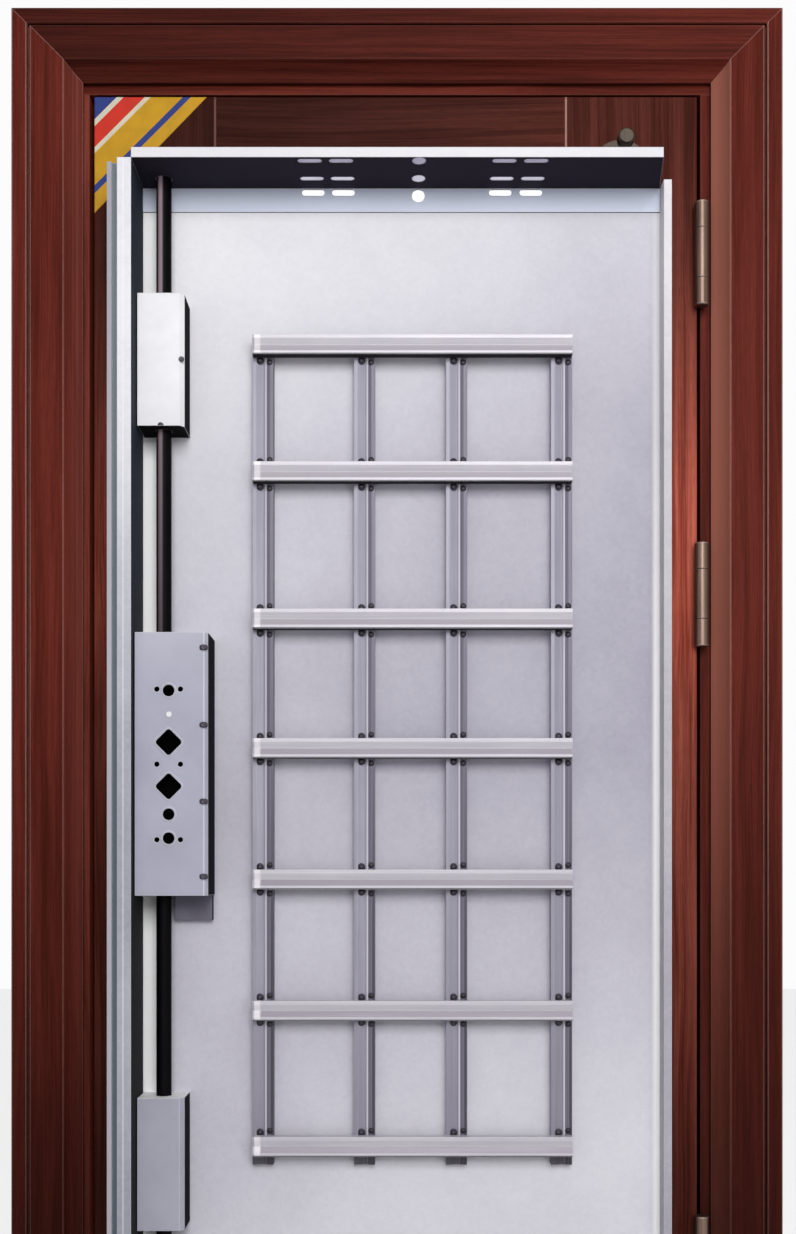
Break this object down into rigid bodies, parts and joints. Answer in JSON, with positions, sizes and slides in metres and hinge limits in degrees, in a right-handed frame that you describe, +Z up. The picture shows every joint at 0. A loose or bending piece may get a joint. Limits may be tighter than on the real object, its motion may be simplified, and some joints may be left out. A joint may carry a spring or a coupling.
{
  "type": "steel security door",
  "caption": "Right-hung steel security door in its cased frame, with an open reinforced steel tray, lock boxes and sliding rods on its leaf.",
  "frame": {"origin": "underside of the sill, at the middle of its length and of the frame's depth", "axes": "+X right as seen from the hinge-barrel side, +Y away from that viewer into the wall, +Z up"},
  "size_m": [1.08, 0.19, 2.11],
  "materials": {
    "frame_paint": "satin dark red-brown paint with a fine vertical grain",
    "sill_steel": "brushed stainless steel",
    "seal_rubber": "black rubber",
    "leaf_wood_grain": "wood-grain transfer finish, satin",
    "hinge_bronze": "dark bronze, polished on the barrel",
    "knob_bronze": "aged bronze",
    "tray_steel": "pale galvanised sheet",
    "grid_steel": "galvanised folded section",
    "lock_cover_steel": "pale grey satin paint",
    "lock_body_dark": "dark oiled case",
    "rod_black": "black paint, semi-gloss"
  },
  "bodies": {
    "frame": {"jamb_lock_side": "frame_paint", "jamb_hinge_side": "frame_paint", "frame_head": "frame_paint", "threshold": "sill_steel", "frame_seal": "seal_rubber", "casing_left": "frame_paint", "casing_right": "frame_paint", "casing_head": "frame_paint", "hinge_frame_top": "hinge_bronze", "hinge_frame_middle": "hinge_bronze", "hinge_frame_bottom": "hinge_bronze"},
    "leaf": {"leaf_front_skin": "leaf_wood_grain", "leaf_back_skin": "leaf_wood_grain", "hinge_leaf_top": "hinge_bronze", "hinge_leaf_middle": "hinge_bronze", "hinge_leaf_bottom": "hinge_bronze", "face_knob": "knob_bronze", "tray_back_sheet": "tray_steel", "tray_lock_stile": "tray_steel", "tray_top_wall": "tray_steel", "tray_bottom_wall": "tray_steel", "tray_right_wall": "tray_steel", "grid_rail_1": "grid_steel", "grid_rail_2": "grid_steel", "grid_rail_3": "grid_steel", "grid_rail_4": "grid_steel", "grid_rail_5": "grid_steel", "grid_rail_6": "grid_steel", "grid_rail_7": "grid_steel", "grid_bar_1": "grid_steel", "grid_bar_2": "grid_steel", "grid_bar_3": "grid_steel", "grid_bar_4": "grid_steel", "upper_lock_box": "lock_cover_steel", "main_lock_box": "lock_cover_steel", "lower_lock_box": "lock_cover_steel", "lock_body": "lock_body_dark"},
    "upper_rod": {"upper_rod": "rod_black"},
    "lower_rod": {"lower_rod": "rod_black"}
  },
  "joints": [
    {"name": "leaf_hinge", "type": "hinge", "parent": "frame", "child": "leaf", "pos_m": [0.4276, -0.0608, 0], "axis": [0, 0, 1], "range_deg": [0, 90]},
    {"name": "lower_rod_slide", "type": "slide", "parent": "leaf", "child": "lower_rod", "axis": [0, 0, -1], "range_m": [0, 0.02]},
    {"name": "upper_rod_slide", "type": "slide", "parent": "leaf", "child": "upper_rod", "axis": [0, 0, 1], "range_m": [0, 0.02]}
  ],
  "couplings": [
    {"joint": "upper_rod_slide", "follows": "lower_rod_slide", "ratio": 1}
  ]
}
